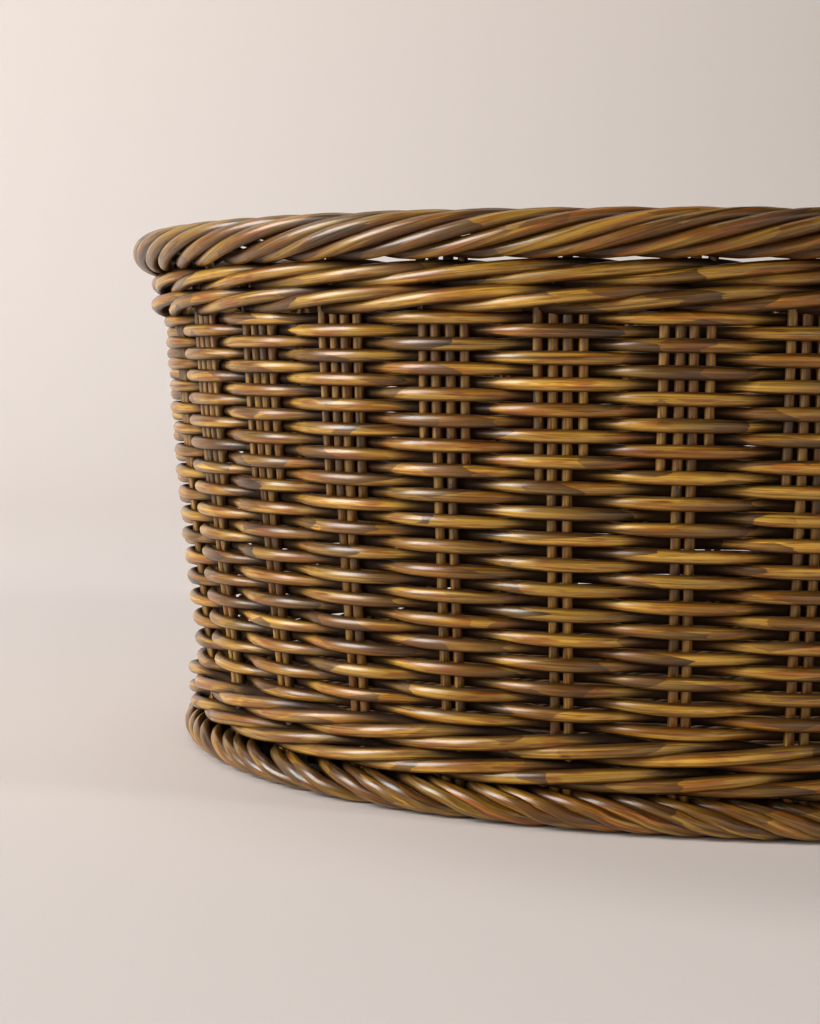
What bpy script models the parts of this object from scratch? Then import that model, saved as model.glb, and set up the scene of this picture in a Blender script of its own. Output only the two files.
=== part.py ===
"""Oval wicker pet bed basket: foot border, woven floor, stakes, wales, woven side and rolled rim.

Lengths are in metres, +Z is up, and the origin is on the ground under the middle of the basket.
The long axis of the oval lies along X. Run it with: blender --background --python part.py
"""

import math

import bmesh
import bpy
import numpy as np
from mathutils import Vector

# The oval that the stakes stand on, where the side weave begins.
HALF_LENGTH = 0.2905
HALF_WIDTH = 0.2255
FULLNESS = 0.0050
STAKE_GROUPS = 36

# Heights of the bands, from the ground up.
FOOT_TOP = 0.0155
FLOOR_TOP = 0.0265
WEAVE_BOTTOM = 0.0381
WEAVE_TOP = 0.2026
WALE_TOP = 0.2217
RIM_BOTTOM = 0.2222
HEIGHT = 0.2412

# The side leans out and swells a little between the two wales.
LEAN = 0.0165
SWELL = 0.0015

# How far each band reaches in and out from the stake line.
FOOT_REACH = (-0.0170, 0.0120)
LOWER_WALE_REACH = (-0.0090, 0.0115)
WEAVE_REACH = (-0.0068, 0.0068)
UPPER_WALE_REACH = (-0.0088, 0.0122)
RIM_REACH = (-0.0045, 0.0185)
EDGE_REACH = (-0.0170, -0.0094)

# A stake group is two rods side by side. The floor is woven on cross sticks and lies on lengthwise bearers.
ROD = 0.0042
GROUP_WIDTH = 0.0112
STICK = 0.0036
BEARER = 0.0060
BEARER_PLACES = (-0.120, -0.040, 0.040, 0.120)
STICK_PLACES = (-0.220, -0.165, -0.110, -0.055, 0.0, 0.055, 0.110, 0.165, 0.220)

# Woven pieces touch, and each keeps this much room.
CLEAR = 0.0003
ROD_CLEAR = 0.0004
STICK_END_CLEAR = 0.0040
TUNNEL_OVERRUN = 0.0200

FOOT_CHAMFER = 0.0045
RIM_SIDES = 8

# Colour, roughness and metallic value of each material.
WEAVER_RATTAN = ((0.42, 0.22, 0.085, 1.0), 0.38, 0.0)
STAKE_RATTAN = ((0.34, 0.18, 0.075, 1.0), 0.42, 0.0)
BORDER_RATTAN = ((0.40, 0.23, 0.095, 1.0), 0.36, 0.0)
FLOOR_RATTAN = ((0.36, 0.21, 0.10, 1.0), 0.50, 0.0)


def clear_scene():
    for obj in list(bpy.data.objects):
        bpy.data.objects.remove(obj, do_unlink=True)


def stake_angles(shift=0.0):
    """Angles spaced evenly along the stake line, starting half a pitch plus `shift` from the +X end."""
    angles = np.linspace(0.0, 2.0 * math.pi, 7201)
    x = (HALF_LENGTH + FULLNESS) * np.cos(angles) - FULLNESS * np.cos(3.0 * angles)
    y = HALF_WIDTH * np.sin(angles)
    run = np.concatenate([[0.0], np.cumsum(np.hypot(np.diff(x), np.diff(y)))])
    places = (np.arange(STAKE_GROUPS) + 0.5) * run[-1] / STAKE_GROUPS + shift
    return [float(angle) for angle in np.interp(places, run, angles)]


def stake_line(angle):
    """Point of the stake line at this angle, and the outward direction there."""
    x = (HALF_LENGTH + FULLNESS) * math.cos(angle) - FULLNESS * math.cos(3.0 * angle)
    y = HALF_WIDTH * math.sin(angle)
    along_x = -(HALF_LENGTH + FULLNESS) * math.sin(angle) + 3.0 * FULLNESS * math.sin(3.0 * angle)
    along_y = HALF_WIDTH * math.cos(angle)
    return Vector((x, y, 0.0)), Vector((along_y, -along_x, 0.0)).normalized()


def lean_at(height):
    """How far the stake line has moved outward at this height."""
    rise = max(0.0, (height - WEAVE_BOTTOM) / (WEAVE_TOP - WEAVE_BOTTOM))
    return LEAN * rise + SWELL * math.sin(math.pi * min(rise, 1.0))


def wall_point(angle, height, offset):
    base, outward = stake_line(angle)
    return base + outward * (lean_at(height) + offset) + Vector((0.0, 0.0, height))


def ring_angles():
    """Sections that every ring shares: the two sides of each stake group's channel."""
    half_channel = 0.5 * GROUP_WIDTH + ROD_CLEAR
    edges = zip(stake_angles(-half_channel), stake_angles(half_channel))
    return [angle for pair in edges for angle in pair]


def material(name, look):
    colour, roughness, metallic = look
    made = bpy.data.materials.new(name)
    made.use_nodes = True
    shader = made.node_tree.nodes["Principled BSDF"]
    shader.inputs["Base Color"].default_value = colour
    shader.inputs["Roughness"].default_value = roughness
    shader.inputs["Metallic"].default_value = metallic
    made.diffuse_color = colour
    return made


def add_object(name, bm, look, smooth=True):
    """Turns a bmesh into a named object with its own material."""
    bmesh.ops.recalc_face_normals(bm, faces=bm.faces)
    mesh = bpy.data.meshes.new(name)
    bm.to_mesh(mesh)
    bm.free()
    if smooth:
        mesh.shade_smooth()
        mesh.set_sharp_from_angle(angle=math.radians(35.0))
    mesh.materials.append(material(name + "_rattan", look))
    obj = bpy.data.objects.new(name, mesh)
    bpy.context.scene.collection.objects.link(obj)
    return obj


def swept_ring(name, profile, look):
    """Sweeps a closed profile of (offset, height) points round the oval."""
    bm = bmesh.new()
    loops = []
    for angle in ring_angles():
        loops.append([bm.verts.new(wall_point(angle, height, offset)) for offset, height in profile])
    for here, there in zip(loops, loops[1:] + loops[:1]):
        for index in range(len(profile)):
            after = (index + 1) % len(profile)
            bm.faces.new((here[index], there[index], there[after], here[after]))
    return add_object(name, bm, look)


def band_profile(reach, bottom, top):
    inner, outer = reach
    return [(inner, bottom), (outer, bottom), (outer, top), (inner, top)]


def foot_profile():
    """A flat underside to stand on, a flat top for the base, and chamfered lower edges."""
    inner, outer = FOOT_REACH
    top = FOOT_TOP - CLEAR
    return [
        (inner + FOOT_CHAMFER, 0.0),
        (outer - FOOT_CHAMFER, 0.0),
        (outer, FOOT_CHAMFER),
        (outer, top),
        (inner, top),
        (inner, FOOT_CHAMFER),
    ]


def rim_profile():
    """A fat oval roll, flat where it meets the stake ends."""
    centre = 0.5 * (RIM_REACH[0] + RIM_REACH[1])
    middle = 0.5 * (RIM_BOTTOM + HEIGHT)
    turn = 2.0 * math.pi / RIM_SIDES
    flat = math.cos(0.5 * turn)
    half_width = 0.5 * (RIM_REACH[1] - RIM_REACH[0]) / flat
    half_height = 0.5 * (HEIGHT - RIM_BOTTOM) / flat
    profile = []
    for side in range(RIM_SIDES):
        angle = (side + 0.5) * turn
        profile.append((centre + half_width * math.cos(angle), middle + half_height * math.sin(angle)))
    return profile


def channelled_ring(name, reach, levels, look):
    """A band of weaving with one upright channel through it for each stake group."""
    channel = 0.5 * ROD + ROD_CLEAR
    offsets = (reach[0], -channel, channel, reach[1])
    bm = bmesh.new()
    grid = []
    for angle in ring_angles():
        columns = []
        for height in levels:
            columns.append([bm.verts.new(wall_point(angle, height, offset)) for offset in offsets])
        grid.append(columns)
    for index, here in enumerate(grid):
        there = grid[(index + 1) % len(grid)]
        open_cell = index % 2 == 0
        for low in range(len(levels) - 1):
            for ring in (0, 1, 2, 3) if open_cell else (0, 3):
                bm.faces.new((here[low][ring], there[low][ring], there[low + 1][ring], here[low + 1][ring]))
            bm.faces.new((here[low][1], here[low][2], here[low + 1][2], here[low + 1][1]))
        for start, end in ((here[0], there[0]), (here[-1], there[-1])):
            for ring in (0, 2) if open_cell else (0, 1, 2):
                bm.faces.new((start[ring], end[ring], end[ring + 1], start[ring + 1]))
    return add_object(name, bm, look)


def stake_group(name, angle, look):
    """One upright bar that stands for the rods of a group, from the foot border up to the rim."""
    base, outward = stake_line(angle)
    sideways = Vector((-outward.y, outward.x, 0.0))
    half_way = 0.5 * (WEAVE_BOTTOM + WEAVE_TOP)
    levels = (FOOT_TOP + CLEAR, WEAVE_BOTTOM, half_way, WEAVE_TOP, RIM_BOTTOM - CLEAR)
    bm = bmesh.new()
    loops = []
    for height in levels:
        middle = base + outward * lean_at(height) + Vector((0.0, 0.0, height))
        loop = []
        for side, out in ((-1, -1), (1, -1), (1, 1), (-1, 1)):
            corner = sideways * side * 0.5 * GROUP_WIDTH + outward * out * 0.5 * ROD
            loop.append(bm.verts.new(middle + corner))
        loops.append(loop)
    for lower, upper in zip(loops, loops[1:]):
        for index in range(4):
            after = (index + 1) % 4
            bm.faces.new((lower[index], lower[after], upper[after], upper[index]))
    bm.faces.new(loops[0])
    bm.faces.new(loops[-1])
    return add_object(name, bm, look)


def box(bm, lowest, highest):
    made = bmesh.ops.create_cube(bm, size=1.0)
    middle = 0.5 * (Vector(lowest) + Vector(highest))
    size = Vector(highest) - Vector(lowest)
    bmesh.ops.scale(bm, vec=size, verts=made["verts"])
    bmesh.ops.translate(bm, vec=middle, verts=made["verts"])


def reach_along(offset, axis, place):
    """Half the extent, along X (axis 0) or Y (axis 1), of the oval this far from the stake line."""
    outline = [wall_point(angle, 0.0, offset) for angle in ring_angles()]
    quarter = [point for point in outline if point.x >= 0.0 and point.y >= 0.0]
    quarter.sort(key=lambda point: point[1 - axis])
    return float(np.interp(abs(place), [p[1 - axis] for p in quarter], [p[axis] for p in quarter]))


def straight_rod(name, axis, place, offset, side, bottom, look):
    """A straight square rod across the basket that ends just inside the oval at this offset."""
    half = reach_along(offset, axis, abs(place) + side) - STICK_END_CLEAR
    lowest = [place - 0.5 * side, place - 0.5 * side, bottom]
    highest = [place + 0.5 * side, place + 0.5 * side, bottom + side]
    lowest[axis], highest[axis] = -half, half
    bm = bmesh.new()
    box(bm, lowest, highest)
    return add_object(name, bm, look, smooth=False)


def stick_tunnels(bottom):
    """Cutter for the tunnels that the cross sticks leave in the woven floor."""
    bm = bmesh.new()
    half = HALF_WIDTH + TUNNEL_OVERRUN
    side = 0.5 * STICK + CLEAR
    for place in STICK_PLACES:
        box(bm, (place - side, -half, bottom - CLEAR), (place + side, half, bottom + STICK + CLEAR))
    cutter = add_object("tunnel_cutter", bm, FLOOR_RATTAN, smooth=False)
    cutter.hide_render = True
    cutter.display_type = "WIRE"
    return cutter


def woven_floor():
    """The woven floor plate, the cross sticks in its tunnels, and the bearers under it."""
    edge = EDGE_REACH[0] - ROD_CLEAR
    bottom = FOOT_TOP + CLEAR
    stick_bottom = 0.5 * (bottom + FLOOR_TOP - STICK)
    bm = bmesh.new()
    outline = [wall_point(angle, 0.0, edge) for angle in ring_angles()]
    lower = [bm.verts.new(point + Vector((0.0, 0.0, bottom))) for point in outline]
    upper = [bm.verts.new(point + Vector((0.0, 0.0, FLOOR_TOP))) for point in outline]
    bm.faces.new(lower)
    bm.faces.new(upper)
    for index in range(len(lower)):
        after = (index + 1) % len(lower)
        bm.faces.new((lower[index], lower[after], upper[after], upper[index]))
    floor = add_object("base_weave", bm, FLOOR_RATTAN)
    tunnels = floor.modifiers.new("stick_tunnels", "BOOLEAN")
    tunnels.object = stick_tunnels(stick_bottom)
    for number, place in enumerate(STICK_PLACES, start=1):
        straight_rod(f"base_stick_{number:02d}", 1, place, edge, STICK, stick_bottom, STAKE_RATTAN)
    bearer_bottom = FOOT_TOP - BEARER
    for number, place in enumerate(BEARER_PLACES, start=1):
        name = f"base_bearer_{number:02d}"
        straight_rod(name, 0, place, FOOT_REACH[0], BEARER, bearer_bottom, STAKE_RATTAN)


def build():
    clear_scene()
    swept_ring("foot_border", foot_profile(), BORDER_RATTAN)
    woven_floor()
    swept_ring("base_edge_ring", band_profile(EDGE_REACH, FOOT_TOP + CLEAR, FLOOR_TOP), FLOOR_RATTAN)
    channelled_ring("lower_wale", LOWER_WALE_REACH, (FOOT_TOP + CLEAR, WEAVE_BOTTOM - CLEAR), WEAVER_RATTAN)
    side_levels = (WEAVE_BOTTOM, 0.5 * (WEAVE_BOTTOM + WEAVE_TOP), WEAVE_TOP)
    channelled_ring("side_weave", WEAVE_REACH, side_levels, WEAVER_RATTAN)
    channelled_ring("upper_wale", UPPER_WALE_REACH, (WEAVE_TOP + CLEAR, WALE_TOP), WEAVER_RATTAN)
    for number, angle in enumerate(stake_angles(), start=1):
        stake_group(f"stake_group_{number:02d}", angle, STAKE_RATTAN)
    swept_ring("rim_border", rim_profile(), BORDER_RATTAN)


build()
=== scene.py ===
"""Looks of the oval wicker pet bed basket, fitted to its plain model. Metres, +Z up, long axis along X."""

import math

import bpy
import numpy as np
from mathutils import Matrix, Vector


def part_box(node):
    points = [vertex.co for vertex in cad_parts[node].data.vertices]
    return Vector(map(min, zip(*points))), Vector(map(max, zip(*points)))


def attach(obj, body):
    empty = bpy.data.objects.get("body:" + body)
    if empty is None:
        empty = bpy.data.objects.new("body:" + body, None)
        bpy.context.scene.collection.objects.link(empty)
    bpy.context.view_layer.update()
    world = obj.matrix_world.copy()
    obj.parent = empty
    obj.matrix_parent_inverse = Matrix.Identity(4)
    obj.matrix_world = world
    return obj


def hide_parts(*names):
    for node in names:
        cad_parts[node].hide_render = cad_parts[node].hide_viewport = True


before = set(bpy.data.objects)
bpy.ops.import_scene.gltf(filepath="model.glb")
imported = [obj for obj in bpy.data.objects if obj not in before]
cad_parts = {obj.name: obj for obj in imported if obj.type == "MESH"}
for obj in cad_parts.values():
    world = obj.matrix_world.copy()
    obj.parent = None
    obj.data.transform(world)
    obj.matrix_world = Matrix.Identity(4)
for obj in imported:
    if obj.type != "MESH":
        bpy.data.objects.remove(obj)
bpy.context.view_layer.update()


# Cross sticks. Nine straight rattan sticks lie across the oval at even spacing, and the floor is woven
# over and under them. Each is a whole round cane, scraped, stained brown and lacquered like the rest.

STICK_COUNT = 9
STICK_SIDES = 12
STICK_SAMPLES = 60
STICK_BOW = 0.0004
STICK_GRAIN = 3.0  # The grain of a stick starts anywhere in this length, so that no two look alike.
UP = (0.0, 0.0, 1.0)


class Link:
    """A socket of a material's node tree: arithmetic on it adds Math or Vector Math nodes."""

    def __init__(self, tree, socket=None):
        self.tree = tree
        self.socket = socket

    def node(self, kind, settings=None, inputs=None, output=0):
        """Adds a node: its settings first, then the values or links of its sockets."""
        made = self.tree.nodes.new(kind)
        for name, setting in (settings or {}).items():
            setattr(made, name, setting)
        for name, given in (inputs or {}).items():
            if isinstance(given, Link):
                self.tree.links.new(given.socket, made.inputs[name])
            else:
                made.inputs[name].default_value = given
        return Link(self.tree, made.outputs[output])

    def feed(self, shader, name):
        """Links this socket to the named one of a shader."""
        self.tree.links.new(self.socket, shader.inputs[name])

    def combine(self, operation, first, second):
        """Adds a Math node for two numbers, or a Vector Math node where either is a vector or a colour."""
        terms = (first, second)
        wide = any(isinstance(t, tuple) or isinstance(t, Link) and t.socket.type != "VALUE" for t in terms)
        if not wide:
            return self.node("ShaderNodeMath", {"operation": operation}, {0: first, 1: second})
        terms = [(t, t, t) if isinstance(t, (int, float)) else t for t in terms]
        return self.node("ShaderNodeVectorMath", {"operation": operation}, {0: terms[0], 1: terms[1]})

    def __add__(self, other):
        return self.combine("ADD", self, other)

    def __sub__(self, other):
        return self.combine("SUBTRACT", self, other)

    def __mul__(self, other):
        return self.combine("MULTIPLY", self, other)

    def __rsub__(self, other):
        return self.combine("SUBTRACT", other, self)

    __radd__ = __add__
    __rmul__ = __mul__

    def __abs__(self):
        return self.node("ShaderNodeMath", {"operation": "ABSOLUTE"}, {0: self})

    def along(self, way):
        """How far this vector reaches along the unit vector way."""
        return self.node("ShaderNodeVectorMath", {"operation": "DOT_PRODUCT"}, {0: self, 1: way}, output=1)

    def axis(self, number):
        """This vector's part along X, Y or Z, numbered from 0."""
        return self.node("ShaderNodeSeparateXYZ", None, {"Vector": self}, output=number)

    def step(self, low, high):
        """0 below low, 1 above high, and smooth between them."""
        settings = {"interpolation_type": "SMOOTHSTEP"}
        return self.node("ShaderNodeMapRange", settings, {0: self, 1: low, 2: high, 3: 0.0, 4: 1.0})

    def blend(self, none, full):
        """The colour none where this value is 0, and full where it is 1."""
        settings = {"data_type": "RGBA", "clamp_factor": True}
        return self.node("ShaderNodeMix", settings, {0: self, 6: none, 7: full}, output=2)

    def noise(self, detail, rough):
        """Noise from 0 to 1 at this position vector, in units of its features."""
        inputs = {"Vector": self, "Scale": 1.0, "Detail": detail, "Roughness": rough, "Distortion": 0.0}
        return self.node("ShaderNodeTexNoise", None, inputs)

    def cells(self, output):
        """Of the nearest of many scattered points to this position vector: its distance as output 0, a
        random colour of its own as output 1, or its place as output 2."""
        return self.node("ShaderNodeTexVoronoi", {"feature": "F1"}, {"Vector": self, "Scale": 1.0}, output)


# The grain is measured in metres along a cane, across it and up its thickness. Each of these says how many
# features there are to a metre, those three ways.
PATCHES = (34.0, 120.0, 120.0)
FRAY = (14.0, 420.0, 420.0)
CLOUDS = (26.0, 160.0, 160.0)
FIBRES = (22.0, 2100.0, 2100.0)
BROAD_FIBRES = (14.0, 640.0, 640.0)
FLECKS = (48.0, 520.0, 520.0)
PORES = (70.0, 760.0, 760.0)

ACROSS = (0.0, 1.0, 0.0)
RISE = (0.0, 0.0, 1.0)

FRAY_REACH = (0.20, 0.0, 0.0)
REDDISH = (0.26, 0.070, 0.006, 1.0)
PORE_BROWN = (0.040, 0.016, 0.006, 1.0)
# Painted shade: the near black laid on a cane where it lies in a recess.
PAINTED_RECESS_SHADE = (0.016, 0.0045, 0.0008, 1.0)
# Painted shade: the brown laid along a cane's edges where it meets its neighbours.
PAINTED_EDGE_SHADE = (0.060, 0.021, 0.004, 1.0)

# How fully each finish, and the painted shade along edges and in recesses, covers the cane where it lies,
# from 0 to 1.
GOLDEN_COVER = 0.70
REDDISH_COVER = 0.72
STAIN_COVER = 0.85
PORE_COVER = 0.40
PAINTED_EDGE_COVER = 0.75
PAINTED_RECESS_COVER = 0.92
LACQUER_COVER = 0.78
SATIN_ROUGHNESS = 0.40
RELIEF_DEPTH = 0.0003


def lacquered_cane(name, light, mid, dark, seam, thick, stain=0.64):
    """Rattan cane: stained in blotches, streaked along its fibres, under satin lacquer, with painted shade in
    its recesses and along the edges where it meets its neighbours.
    seam is the way across the cane towards the neighbours it touches, and thick its half thickness there.
    The nearer stain is to 1, the fewer the patches that took the dark stain."""
    made = bpy.data.materials.new(name)
    made.use_nodes = True
    tree = made.node_tree
    shader = tree.nodes["Principled BSDF"]
    grain = Link(tree).node("ShaderNodeAttribute", {"attribute_name": "grain"}, output=1)
    cane = Link(tree).node("ShaderNodeAttribute", {"attribute_name": "cane"}, output=2)
    # How much painted shade of a recess each point of the cane takes.
    painted_shade = Link(tree).node("ShaderNodeAttribute", {"attribute_name": "painted_shade"}, output=2)

    # The stain lies in patches a few centimetres long, each with an abrupt end frayed along the fibres.
    fray = (grain * FRAY).noise(3.0, 0.6) - 0.5
    patch_at = grain * PATCHES + fray * FRAY_REACH
    lot = patch_at.cells(1).axis(0)
    local = (patch_at - patch_at.cells(2)).axis(0)
    stained = lot.step(stain, stain + 0.02) * (0.75 + local * 0.7)
    golden = 1.0 - lot.step(0.22, 0.30)
    cloud = (grain * CLOUDS).noise(3.0, 0.55)

    # Fibres, reddish streaks and the odd dark pore.
    fibre = (grain * FIBRES).noise(3.0, 0.6)
    broad = (grain * BROAD_FIBRES).noise(3.0, 0.6)
    fleck = (grain * FLECKS).noise(2.0, 0.5).step(0.51, 0.64)
    pore = 1.0 - (grain * PORES).cells(0).step(0.10, 0.26)

    body = cloud.step(0.42, 0.58).blend(light, mid)
    body = (golden * GOLDEN_COVER).blend(body, light)
    body = (fleck * REDDISH_COVER).blend(body, REDDISH)
    body = (stained * STAIN_COVER).blend(body, dark)
    body = (pore * PORE_COVER).blend(body, PORE_BROWN)
    streak = (broad - 0.5) * 2.6 + (fibre - 0.5) * 2.0 + 1.0
    shade = streak * (0.84 + cane * 0.28)
    # Painted shade along the edges where the cane meets its neighbours.
    edge = abs(grain.along(seam)).step(0.50 * thick, 0.98 * thick)
    body = (edge * PAINTED_EDGE_COVER).blend(body * shade, PAINTED_EDGE_SHADE)
    # Painted shade in the recesses.
    body = (painted_shade * PAINTED_RECESS_COVER).blend(body, PAINTED_RECESS_SHADE)
    body.feed(shader, "Base Color")

    # Where shade is painted the lacquer is also made thinner and rougher, so that it shows less sheen there.
    rough = (fibre - 0.5) * 0.30 + (broad - 0.5) * 0.25 + painted_shade * 0.40 + SATIN_ROUGHNESS
    rough.feed(shader, "Roughness")
    (LACQUER_COVER - painted_shade * LACQUER_COVER).feed(shader, "Coat Weight")
    relief = fibre * 0.5 + broad * 0.6 - pore * 0.3
    bump = relief.node("ShaderNodeBump", None, {"Strength": 0.5, "Distance": RELIEF_DEPTH, "Height": relief})
    bump.feed(shader, "Normal")
    shader.inputs["Specular IOR Level"].default_value = 0.40
    shader.inputs["Coat Roughness"].default_value = 0.27
    shader.inputs["Coat IOR"].default_value = 1.50
    return made


class Canes:
    """Gathers round canes, each swept along its centre line, and makes them one mesh."""

    def __init__(self):
        self.spots = []
        self.faces = []
        self.smooth = []
        self.grain = []
        self.cane = []
        self.painted_shade = []
        self.count = 0

    def lay(self, line, high, deep, up, tone, start, closed=False, sides=12, painted_shade=0.0):
        """Adds one cane. high and deep are its half thickness along up and across it. tone is its shade from
        0 to 1, start where its grain begins, and the last argument how much painted shade of a recess it
        takes, as one number, one for each point of the line, or one for each corner of each ring."""
        line = np.asarray(line, float)
        if closed:
            along = np.roll(line, -1, 0) - np.roll(line, 1, 0)
        else:
            along = np.gradient(line, axis=0)
        along /= np.linalg.norm(along, axis=1)[:, None]
        side = np.cross(along, np.broadcast_to(up, line.shape))
        side /= np.linalg.norm(side, axis=1)[:, None]
        upright = np.cross(side, along)
        count = len(line)
        turn = np.arange(sides) * 2.0 * math.pi / sides
        across = np.outer(np.broadcast_to(deep, count), np.cos(turn))
        rise = np.outer(np.broadcast_to(high, count), np.sin(turn))
        spots = line[:, None] + side[:, None] * across[..., None] + upright[:, None] * rise[..., None]
        step = np.linalg.norm(np.diff(line, axis=0, append=line[:1]), axis=1)
        run = start + np.concatenate([[0.0], np.cumsum(step)])
        here = np.arange(count if closed else count - 1)
        ring = np.arange(sides)
        after = np.roll(ring, -1)
        corners = [(0, ring), (1, ring), (1, after), (0, after)]
        faces = [((here[:, None] + ahead) % count) * sides + spot for ahead, spot in corners]
        grain = []
        for ahead, spot in corners:
            row = (here + ahead) % count
            reach = np.broadcast_to(run[here + ahead][:, None], (len(here), sides))
            grain.append(np.stack([reach, across[row][:, spot], rise[row][:, spot]], -1))
        self.keep(faces, grain, True)
        if not closed:
            self.cap(0, sides, run[0], across[0], rise[0], False)
            self.cap((count - 1) * sides, sides, run[count - 1], across[-1], rise[-1], True)
        self.spots.append(spots.reshape(-1, 3))
        self.cane.append(np.full(count * sides, tone))
        if np.ndim(painted_shade) < 2:
            painted_shade = np.broadcast_to(painted_shade, (sides, count)).T
        self.painted_shade.append(painted_shade.ravel())
        self.count += count * sides

    def cap(self, first, sides, reach, across, rise, far):
        """Closes a cut end, from its first corner on, with flat strips of faces. far turns them round."""
        strip = np.arange(sides // 2 - 1)
        corners = [strip, strip + 1, sides - 2 - strip, sides - 1 - strip]
        if far:
            corners.reverse()
        grain = [np.stack([np.full(len(strip), reach), across[spot], rise[spot]], -1) for spot in corners]
        self.keep([first + spot for spot in corners], grain, False)

    def keep(self, faces, grain, smooth):
        """Stores four-cornered faces of the cane that is being added, with the grain at each corner."""
        faces = np.stack(faces, -1).reshape(-1, 4)
        self.faces.append(faces + self.count)
        self.grain.append(np.stack(grain, -2).reshape(-1, 3))
        self.smooth.append(np.full(len(faces), smooth))

    def make(self, name, material, slot, *nodes):
        """Turns the canes into one piece of the basket, in place of these parts of the plain model."""
        mesh = bpy.data.meshes.new(name)
        mesh.from_pydata(np.concatenate(self.spots), [], np.concatenate(self.faces))
        mesh.polygons.foreach_set("use_smooth", np.concatenate(self.smooth))
        grain = mesh.attributes.new("grain", "FLOAT_VECTOR", "CORNER")
        grain.data.foreach_set("vector", np.concatenate(self.grain).ravel())
        for title, levels in (("cane", self.cane), ("painted_shade", self.painted_shade)):
            mesh.attributes.new(title, "FLOAT", "POINT").data.foreach_set("value", np.concatenate(levels))
        mesh.materials.append(material)
        mesh.update()
        piece = bpy.data.objects.new(name, mesh)
        bpy.context.scene.collection.objects.link(piece)
        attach(piece, "root")
        if nodes:
            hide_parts(*nodes)


AMBER_LIGHT = (0.450, 0.255, 0.036, 1.0)
AMBER = (0.300, 0.128, 0.007, 1.0)
STAIN_BROWN = (0.088, 0.043, 0.011, 1.0)
FLOOR_CANE_HALF = 0.0021

floor_cane = lacquered_cane("floor_cane", AMBER_LIGHT, AMBER, STAIN_BROWN, ACROSS, FLOOR_CANE_HALF)
draw = np.random.default_rng(41)

for number in range(1, STICK_COUNT + 1):
    node = f"base_stick_{number:02d}"
    low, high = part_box(node)
    x = 0.5 * (low.x + high.x)
    z = 0.5 * (low.z + high.z)
    radius = 0.5 * (high.z - low.z)
    bow = draw.normal(0.0, STICK_BOW)
    y = np.linspace(low.y, high.y, STICK_SAMPLES)
    line = np.stack([x + bow * np.cos(math.pi * y / high.y), y, np.full_like(y, z)], -1)
    sticks = Canes()
    sticks.lay(line, radius, radius, UP, draw.random(), STICK_GRAIN * draw.random(), sides=STICK_SIDES)
    sticks.make(node + "_cane", floor_cane, "floor_rattan", node)


# Base weave. A flat oval of plain weave: round canes run lengthwise, each over one stick and under the
# next, and neighbouring rows take opposite turns. The rows are packed tight by hand.

ROW_RADIUS = FLOOR_CANE_HALF
ROW_PITCH = 0.0046
ROW_RIDE = 0.0036
ROW_GRIP = 1.1
ROW_SWAY = 0.00012
ROW_SWAYS = 5
ROW_SAMPLES = 12  # Points of a row from one stick to the next.
ROW_FEWEST = 24
ROW_SIDES = 8
EDGE_ROOM = 0.0032
TUCK = 0.0010
OVAL_POWER = 2.08
LONG_GRAIN = 25.0  # The grain of a long cane starts anywhere in this length.


def over_and_under(swing, grip):
    """A weaving wave from -1 to 1 along a cosine: the larger grip is, the flatter its crests."""
    return np.tanh(grip * swing) / math.tanh(grip)


floor_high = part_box("base_weave")[1]
stick_low, stick_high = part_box("base_stick_05")
stick_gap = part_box("base_stick_06")[0].x + 0.5 * (stick_high.x - stick_low.x)
last_stick = (STICK_COUNT // 2) * stick_gap
half_long = floor_high.x + TUCK
half_wide = floor_high.y - EDGE_ROOM
middle = 0.5 * (stick_low.z + stick_high.z)

base_rows = Canes()
row_count = int(2.0 * (half_wide - ROW_RADIUS) / ROW_PITCH)
for row in range(row_count):
    y = (row - 0.5 * (row_count - 1)) * ROW_PITCH
    half = half_long * max(0.0, 1.0 - (abs(y) / (floor_high.y + TUCK)) ** OVAL_POWER) ** 0.5
    x = np.linspace(-half, half, max(ROW_FEWEST, int(2.0 * half / stick_gap * ROW_SAMPLES)))
    inside = np.clip((last_stick + 0.5 * stick_gap - abs(x)) / (0.5 * stick_gap), 0.0, 1.0)
    wave = over_and_under(np.cos(math.pi * x / stick_gap), ROW_GRIP)
    z = middle + ROW_RIDE * wave * inside * (-1.0) ** row
    sway = draw.normal(0.0, ROW_SWAY, ROW_SWAYS)
    drift = np.interp(x, np.linspace(-half, half, ROW_SWAYS), sway)
    line = np.stack([x, y + drift, z], -1)
    high = ROW_RADIUS * (1.0 + draw.normal(0.0, 0.03))
    # Painted shade: darker midway between the sticks, where the row crosses from over to under, and a little
    # all along.
    dark = 0.10 + 0.45 * (1.0 - abs(wave))
    tone = draw.random()
    start = LONG_GRAIN * draw.random()
    base_rows.lay(line, high, high * 1.1, UP, tone, start, sides=ROW_SIDES, painted_shade=dark)
base_rows.make("base_rows", floor_cane, "floor_rattan", "base_weave")


# Stakes. The ribs are slim rods of paler cane, in 36 groups round the oval that lean out as they rise. Two
# rods of a group run the full height, and two shorter ones are pushed in beside them from the top, to
# stiffen the upper half and feed the rim.

GROUPS = 36
HALF_LENGTH = 0.2905
HALF_WIDTH = 0.2255
FULLNESS = 0.0050
LEAN = 0.0165  # How far the side leans out from the foot of the weave to its top.
SWELL = 0.0015  # How far it bellies out beyond that, half way up.
PLAN_STEPS = 7200
WEAVE_ROWS = 33
ROD_PLACES = (-1.5, -0.5, 0.5, 1.5)
ROD_SPACING = 0.0056
ROD_RADIUS = 0.00212
ROD_TUCK = 0.004
ROD_LEAN = 0.00022
ROD_SWAY = 0.00015
ROD_SWAY_RATE = 40.0
ROD_SAMPLES = 40
ROD_SIDES = 10
ROD_GRAIN = 6.0
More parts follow.
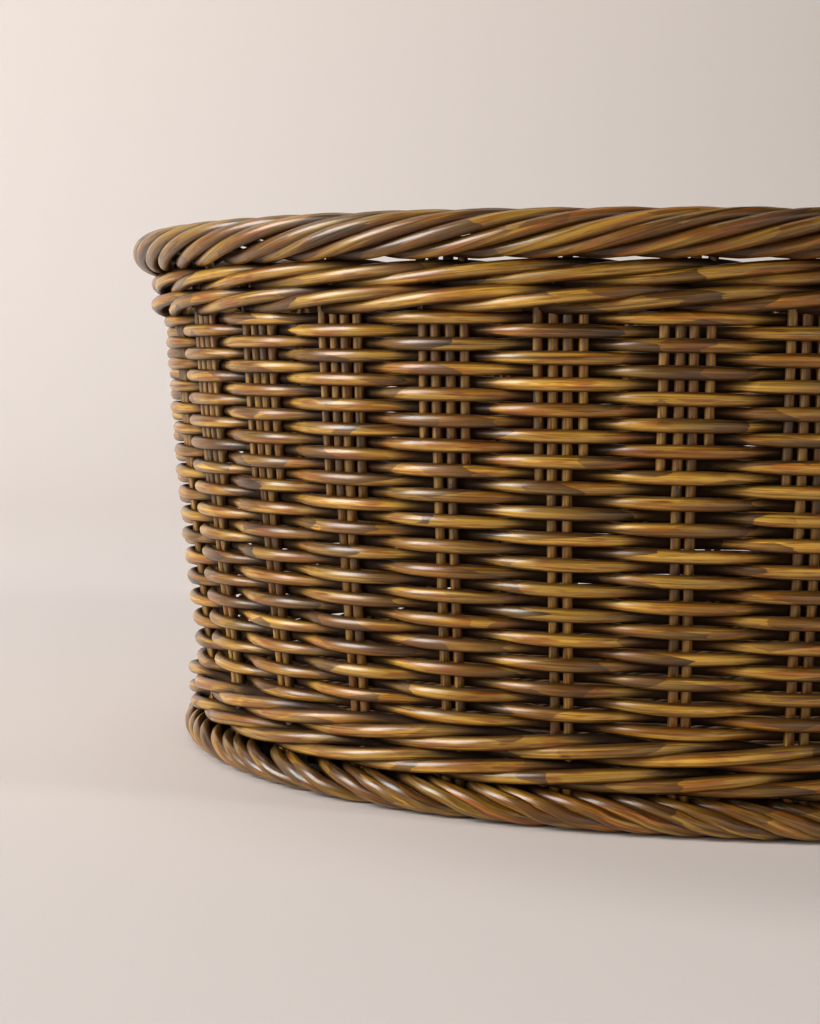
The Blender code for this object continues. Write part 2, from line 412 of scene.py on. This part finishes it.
# How much of the painted recess shade each rod takes, the same all along it.
ROD_DARK = 0.22
SIDE_ROD_RADIUS = 0.00200
SIDE_ROD_TIP = 0.0025
TIP_WIDTH = 0.35
STAKE_LIGHT = (0.48, 0.27, 0.060, 1.0)
STAKE_BROWN = (0.33, 0.155, 0.026, 1.0)
STAKE_STAIN = (0.130, 0.075, 0.028, 1.0)

weave_low, weave_high = (corner.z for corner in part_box("side_weave"))
foot_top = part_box("foot_border")[1].z
rim_low, rim_high = (corner.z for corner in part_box("rim_border"))
row_step = (weave_high - weave_low) / WEAVE_ROWS


def oval(angle):
    """The line of the stakes in plan, a little fuller at its ends than an ellipse."""
    x = (HALF_LENGTH + FULLNESS) * np.cos(angle) - FULLNESS * np.cos(3.0 * angle)
    return x, HALF_WIDTH * np.sin(angle)


plan_angle = np.linspace(0.0, 2.0 * math.pi, PLAN_STEPS + 1)
plan_x, plan_y = oval(plan_angle)
plan_run = np.concatenate([[0.0], np.cumsum(np.hypot(np.diff(plan_x), np.diff(plan_y)))])
pitch = plan_run[-1] / GROUPS


def wall(turn, height, out):
    """Points on the basket's side. turn counts stake groups, height is from the ground, and out is
    outward from the line of the stakes."""
    turn, height, out = np.broadcast_arrays(np.asarray(turn, float), height, out)
    angle = np.interp(((turn + 0.5) % GROUPS) * pitch, plan_run, plan_angle)
    x, y = oval(angle)
    along_x = -(HALF_LENGTH + FULLNESS) * np.sin(angle) + 3.0 * FULLNESS * np.sin(3.0 * angle)
    along_y = HALF_WIDTH * np.cos(angle)
    size = np.hypot(along_x, along_y)
    rise = np.maximum(0.0, (height - weave_low) / (weave_high - weave_low))
    far = LEAN * rise + SWELL * np.sin(math.pi * np.minimum(rise, 1.0)) + out
    return np.stack([x + far * along_y / size, y - far * along_x / size, height], -1)


stake_cane = lacquered_cane(
    "stake_cane", STAKE_LIGHT, STAKE_BROWN, STAKE_STAIN, ACROSS, 1.3 * ROD_RADIUS, stain=0.66
)

# A side rod ends behind a row that passes outside its group, 10 to 15 rows below the top.
side_rod_rows = draw.integers(5, 8, (GROUPS, 2))
for group in range(GROUPS):
    stakes = Canes()
    outward = wall(group, 0.1, 1.0) - wall(group, 0.1, 0.0)
    for place in ROD_PLACES:
        short = abs(place) > 1.0
        radius = SIDE_ROD_RADIUS if short else ROD_RADIUS
        foot = foot_top - ROD_TUCK
        if short:
            row = 2 * side_rod_rows[group, int(place > 0.0)] + group % 2
            foot = weave_high - (row + 0.5) * row_step
        height = np.linspace(foot, rim_low + ROD_TUCK, ROD_SAMPLES)
        lean = draw.normal(0.0, ROD_LEAN)
        spread = place * ROD_SPACING + lean + draw.normal(0.0, ROD_SWAY) * np.sin(height * ROD_SWAY_RATE)
        tip = np.clip((height - foot) / SIDE_ROD_TIP, 0.0, 1.0) if short else 1.0
        line = wall(group + spread / pitch, height, 0.0)
        tone = draw.random()
        start = ROD_GRAIN * draw.random()
        wide = radius * (TIP_WIDTH + (1.0 - TIP_WIDTH) * tip)
        stakes.lay(line, radius, wide, outward, tone, start, sides=ROD_SIDES, painted_shade=ROD_DARK)
    node = f"stake_group_{group + 1:02d}"
    stakes.make(node + "_rods", stake_cane, "stake_rattan", node)


# Base edge ring. Once the stakes are bent up, two rounds of three thin canes, cut from the floor's cane,
# are waled round the floor inside them: each passes over two groups and behind the next, like a rope.

EDGE_RADIUS = 0.0019
EDGE_OUT = -0.0120
EDGE_REACH = 0.0026
EDGE_BACK = 0.0030
EDGE_CLIMB = 0.0012
EDGE_ROUNDS = ((-0.0026, 0.0), (0.0026, 1.3))  # Height from the ring's middle, and turn by stake groups.
WALE_CANES = 3
WALE_SAMPLES = 16
WALE_SIDES = 12
# How much of its reach a cane stands out at each half group. At the sixth it is back behind the stakes.
WALE_FRONT = (0.14, 0.64, 1.0, 0.74, 0.06)
WALE_WOBBLE = 0.00022
# Painted shade of the wall canes: WALE_FADE is how fast it lifts as a cane comes out in front, and INNER_DARK
# how dark the inner face is painted where the cane stands out in front of the stakes.
WALE_FADE = 1.6
INNER_DARK = 0.85


def cycle(knots, turn):
    """A smooth closed curve through equally spaced knots, with turn counted in knots."""
    knots = np.asarray(knots, float)
    turn = np.asarray(turn, float)
    place = np.floor(turn).astype(int)
    part = turn - place
    a, b, c, d = (knots[(place + shift) % len(knots)] for shift in (-1, 0, 1, 2))
    bend = 2.0 * a - 5.0 * b + 4.0 * c - d + part * (3.0 * (b - c) + d - a)
    return b + 0.5 * part * (c - a + part * bend)


def two_faced(outside, inside, proud, sides):
    """Painted shade of the recesses for a cane of the wall: outside on its outer face, inside on its inner
    face, and more along its upper and lower edges where it dives between its neighbours. proud is 1 where it
    stands in front."""
    turn = np.arange(sides) * 2.0 * math.pi / sides
    facing = 0.5 + 0.5 * np.tanh(2.5 * np.cos(turn))
    pinch = 1.3 * np.sin(turn) ** 2
    outer = np.clip(outside[:, None] + np.outer(1.0 - proud, pinch), 0.0, 1.0)
    inner = np.clip(inside[:, None] + np.outer(proud, pinch), 0.0, 0.9)
    return outer * facing + inner * (1.0 - facing)


def wale_round(canes, centre, out, radius, reach, back, climb, shift):
    """Lays the three canes of one round. reach is how far each stands out in front of the line out, back how
    far behind it, climb how far it rises and falls, and shift how many groups the round is turned by."""
    turns = np.arange(GROUPS * WALE_SAMPLES) / WALE_SAMPLES
    front = [part * reach for part in WALE_FRONT] + [-back]
    for first in range(WALE_CANES):
        wobble = draw.normal(0.0, WALE_WOBBLE, (3, GROUPS))
        stage = (turns - first - shift) % 3.0
        stage = stage + cycle(wobble[0] * 150.0, turns) * np.sin(math.pi * stage / 3.0)
        level = np.sin(0.5 * math.pi * np.clip(stage - 1.0, -1.0, 1.0))
        home = np.cos(math.pi * np.clip(stage - 2.0, 0.0, 1.0))
        height = centre + climb * np.where(stage < 2.0, level, home) + cycle(wobble[1], turns)
        stand = cycle(front, 2.0 * stage)
        line = wall(turns, height, out + stand + cycle(wobble[2], turns))
        # Painted shade: dark on whichever face lies behind the stakes, and along the edges where the cane
        # dives.
        proud = np.clip(stand / reach, 0.0, 1.0)
        behind = np.clip(-stand / back, 0.0, 1.0)
        outside = 1.0 - np.clip(WALE_FADE * proud, 0.0, 1.0)
        inside = INNER_DARK - np.clip(WALE_FADE * behind, 0.0, INNER_DARK)
        dark = two_faced(outside, inside, proud, WALE_SIDES)
        high = radius * (0.92 + 0.08 * proud)
        tone = draw.random()
        start = LONG_GRAIN * draw.random()
        canes.lay(line, high, radius, UP, tone, start, closed=True, sides=WALE_SIDES, painted_shade=dark)


edge_low, edge_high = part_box("base_edge_ring")
edge_middle = 0.5 * (edge_low.z + edge_high.z)
edge_ring = Canes()
for level, shift in EDGE_ROUNDS:
    centre = edge_middle + level
    wale_round(edge_ring, centre, EDGE_OUT, EDGE_RADIUS, EDGE_REACH, EDGE_BACK, EDGE_CLIMB, shift)
edge_ring.make("base_edge_canes", floor_cane, "floor_rattan", "base_edge_ring")


# Lower wale. Two rounds of three-cane waling, of the same thick amber cane as the side, hold the stakes in
# their places just above the foot. Each round is a piece of its own, beaten down on the one below.

LOWER_RADIUS = 0.0030
LOWER_REACH = (0.0080, 0.0080)
LOWER_BACK = 0.0046
LOWER_CLIMB = 0.0033
LOWER_SHIFT = 0.35
WEAVER_HALF = 0.0027

weaver_cane = lacquered_cane("weaver_cane", AMBER_LIGHT, AMBER, STAIN_BROWN, RISE, WEAVER_HALF)


def wale(node, radius, reaches, back, climb, shift):
    """Lays one round for each reach, from the bottom up, in place of this ring of the plain model."""
    low, high = (corner.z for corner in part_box(node))
    for number, reach in enumerate(reaches):
        level = low + (number + 0.5) * (high - low) / len(reaches)
        canes = Canes()
        wale_round(canes, level, 0.0, radius, reach, back, climb, shift * number)
        nodes = (node,) if number else ()
        canes.make(f"{node}_round_{number + 1}", weaver_cane, "weaver_rattan", *nodes)


wale("lower_wale", LOWER_RADIUS, LOWER_REACH, LOWER_BACK, LOWER_CLIMB, LOWER_SHIFT)


# Side weave. Thirty-three rows of plain weave climb the side. Each row is one amber cane passed in front of
# a stake group and behind the next, beaten down hard on the row below so that the canes nest.

WEAVER_RADIUS = 0.00272
WEAVER_RIDE = 0.0046
WEAVER_SIDES = 12
# How fast the painted recess shade lifts as a row comes out in front.
WEAVER_FADE = 2.2
GRIP_AT_TOP = 1.25
GRIP_LOSS = 0.45  # The bends of the top row are the flattest, and they lose this much grip on the way down.
RIDE_UNEVEN = 0.05
OUT_UNEVEN = 0.00015
HEIGHT_UNEVEN = 0.00016
SIDE_SAMPLES = 14

turns = np.arange(GROUPS * SIDE_SAMPLES) / SIDE_SAMPLES
for row in range(WEAVE_ROWS):
    centre = weave_high - (row + 0.5) * row_step
    swing = np.cos(math.pi * turns) * (-1.0) ** row
    wobble = draw.normal(0.0, 1.0, (3, GROUPS))
    wave = over_and_under(swing, GRIP_AT_TOP - GRIP_LOSS * row / WEAVE_ROWS)
    ride = WEAVER_RIDE * wave * (1.0 + RIDE_UNEVEN * cycle(wobble[0], turns))
    out = ride + OUT_UNEVEN * cycle(wobble[1], turns)
    line = wall(turns, centre + HEIGHT_UNEVEN * cycle(wobble[2], turns), out)
    # Painted shade: dark on whichever face lies behind a stake group, and along the edges where the row dives
    # between its neighbours.
    proud = np.clip(0.5 + 0.5 * wave, 0.0, 1.0)
    outside = 1.0 - np.clip(WEAVER_FADE * proud - 0.15, 0.0, 1.0)
    inside = INNER_DARK - np.clip(WEAVER_FADE * (1.0 - proud) - 0.15, 0.0, INNER_DARK)
    dark = two_faced(outside, inside, proud, WEAVER_SIDES)
    high = WEAVER_RADIUS * (0.82 + 0.23 * np.abs(wave))
    deep = WEAVER_RADIUS * 0.95
    tone = draw.random()
    start = LONG_GRAIN * draw.random()
    side_row = Canes()
    side_row.lay(line, high, deep, UP, tone, start, closed=True, sides=WEAVER_SIDES, painted_shade=dark)
    nodes = ("side_weave",) if row == 0 else ()
    side_row.make(f"side_row_{row + 1:02d}", weaver_cane, "weaver_rattan", *nodes)


# Upper wale. Two more rounds of three-cane waling, a little slimmer and standing further out than the
# lower ones, lock the top of the side before the rim is laid.

UPPER_RADIUS = 0.0029
UPPER_REACH = (0.0098, 0.0086)
UPPER_BACK = 0.0048
UPPER_CLIMB = 0.0032
UPPER_SHIFT = 0.15

wale("upper_wale", UPPER_RADIUS, UPPER_REACH, UPPER_BACK, UPPER_CLIMB, UPPER_SHIFT)


# Foot border. The lower ends of the stakes are turned down outside the lower wale and rolled under the
# base, three canes for each group, and they carry the basket on the ground.

FOOT_RADIUS = 0.0030
FOOT_CLEAR = 0.0001
FOOT_OUT = -0.0010
FOOT_REACH = 0.0102
FOOT_ROUND = 0.8
FOOT_EACH = 3
FOOT_SCATTER = 0.045
FOOT_SAMPLES = 44
# Places round a roll are in degrees, from 0 outermost through 90 on top to 180 innermost.
FOOT_FIRST = 160.0
FOOT_LAST = -150.0
FOOT_DEGREES_PER_GROUP = 150.0
FOOT_TAPER = ((-150.0, 0.5), (-110.0, 0.7), (-50.0, 1.0), (90.0, 1.0), (160.0, 0.7))
# Painted shade at places round the roll: dark where the cane is tucked in under the wale and under the base.
FOOT_DARK = ((-150.0, 0.8), (-110.0, 0.5), (-70.0, 0.0), (50.0, 0.0), (100.0, 0.7), (140.0, 1.0))
# The border canes are a darker amber than the weavers: partly a heavier stain, and partly painted shade that
# keeps the rim's top, which catches more of the light from above, as dark as the side.
BORDER_LIGHT = (0.31, 0.172, 0.020, 1.0)
BORDER_AMBER = (0.180, 0.076, 0.004, 1.0)
BORDER_SIDES = 12

border_cane = lacquered_cane("border_cane", BORDER_LIGHT, BORDER_AMBER, STAIN_BROWN, ACROSS, FOOT_RADIUS)


def broadened(level):
    """A sine or cosine of the roll, with its crests broadened so that the foot sits square."""
    return np.sign(level) * np.abs(level) ** FOOT_ROUND


def between(stops, spin):
    """A value for each place round a roll, from pairs of a place in degrees and the value there."""
    degrees, levels = zip(*stops)
    return np.interp(spin, np.radians(degrees), levels)


def rolled(canes, middle, turn, height, out, radius, dark):
    """Lays one border cane along this path, which winds round a line at the height and the distance out
    that middle gives."""
    line = wall(turn, height, out)
    core = wall(turn, np.full_like(turn, middle[0]), np.full_like(turn, middle[1]))
    start = LONG_GRAIN * draw.random()
    canes.lay(line, radius, radius, line - core, draw.random(), start, sides=BORDER_SIDES, painted_shade=dark)


foot_border = Canes()
foot_middle = 0.5 * (foot_top - FOOT_CLEAR)
for number in range(FOOT_EACH * GROUPS):
    begin = number / FOOT_EACH + draw.normal(0.0, FOOT_SCATTER)
    spin = np.linspace(math.radians(FOOT_FIRST), math.radians(FOOT_LAST), FOOT_SAMPLES)
    turn = begin + (spin[0] - spin) / math.radians(FOOT_DEGREES_PER_GROUP)
    height = foot_middle + (foot_middle - FOOT_RADIUS) * broadened(np.sin(spin))
    out = FOOT_OUT + FOOT_REACH * broadened(np.cos(spin))
    radius = FOOT_RADIUS * between(FOOT_TAPER, spin)
    rolled(foot_border, (foot_middle, FOOT_OUT), turn, height, out, radius, between(FOOT_DARK, spin))
foot_border.make("foot_border_canes", border_cane, "border_rattan", "foot_border")


# Rim border. At the top every stake rod is bent over and rolled round its neighbours, so that two thick
# canes for each group wind outward, up and back over into the basket.

RIM_RADIUS = 0.0030
RIM_OUT = 0.0070
RIM_REACH = 0.0084
RIM_EACH = 2
RIM_SCATTER = 0.04
RIM_SAMPLES = 56
RIM_FIRST = -125.0
RIM_LAST = 215.0
RIM_DEGREES_PER_GROUP = 103.5
RIM_TAPER = ((-125.0, 0.75), (-90.0, 1.0), (150.0, 1.0), (215.0, 0.6))
# Painted shade at places round the roll: dark at both ends, where the cane is tucked in.
RIM_DARK = ((-125.0, 1.0), (-95.0, 0.6), (-60.0, 0.0), (150.0, 0.0), (215.0, 0.9))

rim_border = Canes()
rim_middle = 0.5 * (rim_low + rim_high)
for number in range(RIM_EACH * GROUPS):
    begin = number / RIM_EACH + draw.normal(0.0, RIM_SCATTER)
    spin = np.linspace(math.radians(RIM_FIRST), math.radians(RIM_LAST), RIM_SAMPLES)
    turn = begin + (spin - spin[0]) / math.radians(RIM_DEGREES_PER_GROUP)
    height = rim_middle + (0.5 * (rim_high - rim_low) - RIM_RADIUS) * np.sin(spin)
    out = RIM_OUT + RIM_REACH * np.cos(spin)
    radius = RIM_RADIUS * between(RIM_TAPER, spin)
    rolled(rim_border, (rim_middle, RIM_OUT), turn, height, out, radius, between(RIM_DARK, spin))
rim_border.make("rim_border_canes", border_cane, "border_rattan", "rim_border")


# Bearers. Four thicker round canes, of the paler brown of the stakes, are pushed in lengthwise under the
# woven floor to stiffen it, with their ends caught in the foot.

BEARER_COUNT = 4
BEARER_HALF = 0.0060
BEARER_BOW = 0.0006
BEARER_SAMPLES = 80
BEARER_SIDES = 16
# How much of the painted recess shade each bearer takes, the same all along it.
BEARER_DARK = 0.3

bearer_cane = lacquered_cane("bearer_cane", STAKE_LIGHT, STAKE_BROWN, STAKE_STAIN, ACROSS, BEARER_HALF)
for number in range(1, BEARER_COUNT + 1):
    node = f"base_bearer_{number:02d}"
    low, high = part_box(node)
    radius = 0.5 * (high.z - low.z)
    x = np.linspace(low.x, high.x, BEARER_SAMPLES)
    y = 0.5 * (low.y + high.y) + draw.normal(0.0, BEARER_BOW) * np.cos(math.pi * x / high.x)
    line = np.stack([x, y, np.full_like(x, 0.5 * (low.z + high.z))], -1)
    tone = draw.random()
    start = ROD_GRAIN * draw.random()
    bearer = Canes()
    bearer.lay(line, radius, radius, UP, tone, start, sides=BEARER_SIDES, painted_shade=BEARER_DARK)
    bearer.make(node + "_cane", bearer_cane, "stake_rattan", node)


# Studio. A pale matt sweep of board runs under the basket and curves up behind it. A big soft lamp at the
# left does most of the lighting, and three weaker ones fill in from the right, the front and above.

SWEEP_FRONT = -3.0
SWEEP_BACK = 2.6
SWEEP_RADIUS = 1.2
SWEEP_HALF_WIDTH = 4.0
SWEEP_HEIGHT = 3.5
SWEEP_STEPS = 24
TOOTH = (900.0, 900.0, 900.0)
PAPER_LOW = (0.80, 0.74, 0.705, 1.0)
PAPER_HIGH = (0.76, 0.70, 0.66, 1.0)
AIR_COLOUR = (1.0, 0.94, 0.88, 1.0)
AIR_STRENGTH = 0.10
BASKET_MIDDLE = (0.0, 0.0, 0.1)
BOARD_MIDDLE = (-0.3, 2.6, 0.3)

profile = [(SWEEP_FRONT, 0.0)]
for step in range(SWEEP_STEPS + 1):
    bend = 0.5 * math.pi * step / SWEEP_STEPS
    y = SWEEP_BACK - SWEEP_RADIUS * (1.0 - math.sin(bend))
    profile.append((y, SWEEP_RADIUS * (1.0 - math.cos(bend))))
profile.append((SWEEP_BACK, SWEEP_HEIGHT))
spots = [(side * SWEEP_HALF_WIDTH, y, z) for y, z in profile for side in (-1.0, 1.0)]
faces = [(2 * i, 2 * i + 1, 2 * i + 3, 2 * i + 2) for i in range(len(profile) - 1)]
sweep_mesh = bpy.data.meshes.new("studio_sweep")
sweep_mesh.from_pydata(spots, [], faces)
sweep_mesh.shade_smooth()
paper = bpy.data.materials.new("warm_paper")
paper.use_nodes = True
shader = paper.node_tree.nodes["Principled BSDF"]
place = Link(paper.node_tree).node("ShaderNodeTexCoord", output=3)
tooth = (place * TOOTH).noise(2.0, 0.5)
pale = place.axis(2).step(-0.1, 1.1).blend(PAPER_LOW, PAPER_HIGH)
(pale * (tooth * 0.06 + 0.97)).feed(shader, "Base Color")
shader.inputs["Roughness"].default_value = 0.85
sweep_mesh.materials.append(paper)
sweep_board = bpy.data.objects.new("studio_sweep", sweep_mesh)
bpy.context.scene.collection.objects.link(sweep_board)


def soft_lamp(name, place, aim, size, power, colour):
    """Adds a flat lamp of this width and height in metres, with its power in watts."""
    lamp = bpy.data.lights.new(name, "AREA")
    lamp.shape = "RECTANGLE"
    lamp.size, lamp.size_y = size
    lamp.energy = power
    lamp.color = colour
    made = bpy.data.objects.new(name, lamp)
    made.location = place
    made.rotation_euler = (Vector(aim) - Vector(place)).to_track_quat("-Z", "Y").to_euler()
    bpy.context.scene.collection.objects.link(made)


soft_lamp("window_lamp", (-3.3, -0.5, 1.5), BASKET_MIDDLE, (1.5, 2.3), 114.0, (1.0, 1.0, 1.0))
soft_lamp("side_lamp", (2.6, -1.5, 1.4), BASKET_MIDDLE, (0.35, 0.8), 17.0, (1.0, 0.98, 0.98))
soft_lamp("front_lamp", (0.5, -3.6, 1.0), BASKET_MIDDLE, (3.5, 1.8), 23.0, (1.0, 0.93, 0.82))
soft_lamp("backdrop_lamp", (-1.1, 0.9, 2.6), BOARD_MIDDLE, (2.6, 1.0), 19.0, (1.0, 0.99, 0.98))

world = bpy.data.worlds.new("studio_air")
world.use_nodes = True
air = world.node_tree.nodes["Background"]
air.inputs["Color"].default_value = AIR_COLOUR
air.inputs["Strength"].default_value = AIR_STRENGTH
bpy.context.scene.world = world
bpy.context.scene.view_settings.view_transform = "Standard"
bpy.context.scene.view_settings.look = "Medium High Contrast"


# Camera. It stands in front and to the left of the basket's middle, a little below the rim, turned a few
# degrees to the right and tipped down a few. Its angles are in radians and its lens in millimetres.

CAMERA_PLACE = Vector((-0.3052, -0.9349, 0.1838))
CAMERA_HEADING = 0.1185
CAMERA_TILT = 0.0790
CAMERA_ROLL = -0.0133
CAMERA_LENS = 67.86

ahead = Vector((math.sin(CAMERA_HEADING), math.cos(CAMERA_HEADING), 0.0)) * math.cos(CAMERA_TILT)
ahead.z = -math.sin(CAMERA_TILT)
level = Vector((math.cos(CAMERA_HEADING), -math.sin(CAMERA_HEADING), 0.0))
upward = level.cross(ahead)
right = level * math.cos(CAMERA_ROLL) - upward * math.sin(CAMERA_ROLL)
top = level * math.sin(CAMERA_ROLL) + upward * math.cos(CAMERA_ROLL)
camera_data = bpy.data.cameras.new("camera")
camera_data.lens = CAMERA_LENS
camera_data.clip_start = 0.01
camera = bpy.data.objects.new("camera", camera_data)
facing = Matrix((right, top, -ahead)).transposed().to_4x4()
camera.matrix_world = Matrix.Translation(CAMERA_PLACE) @ facing
bpy.context.scene.collection.objects.link(camera)
bpy.context.scene.camera = camera
